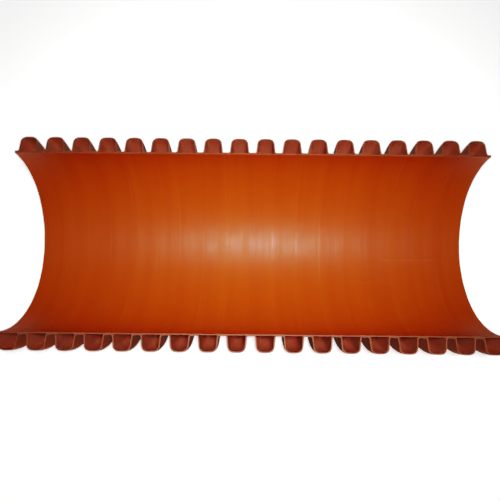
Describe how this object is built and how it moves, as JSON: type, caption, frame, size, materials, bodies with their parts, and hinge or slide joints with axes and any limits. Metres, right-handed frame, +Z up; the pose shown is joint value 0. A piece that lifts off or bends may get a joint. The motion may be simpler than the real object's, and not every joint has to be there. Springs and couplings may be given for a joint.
{
  "type": "corrugated pipe half section",
  "caption": "Orange double-wall corrugated plastic pipe, sawn in half lengthwise: a smooth half-round liner backed by a hollow-ribbed outer wall.",
  "frame": {"origin": "on the ground, under the middle of the half pipe as it lies on its back", "axes": "+X along the pipe's axis, +Y across the channel, +Z up out of the open side"},
  "size_m": [0.3618, 0.16, 0.0797],
  "materials": {
    "liner_plastic": "glossy orange polyethylene, faintly rippled at every corrugation, rough and paler where sawn",
    "wall_plastic": "satin red-orange polyethylene, mould-cooled outside, rough and paler where sawn"
  },
  "bodies": {
    "root": {"inner_liner": "liner_plastic", "corrugated_outer_wall": "wall_plastic"}
  },
  "joints": []
}
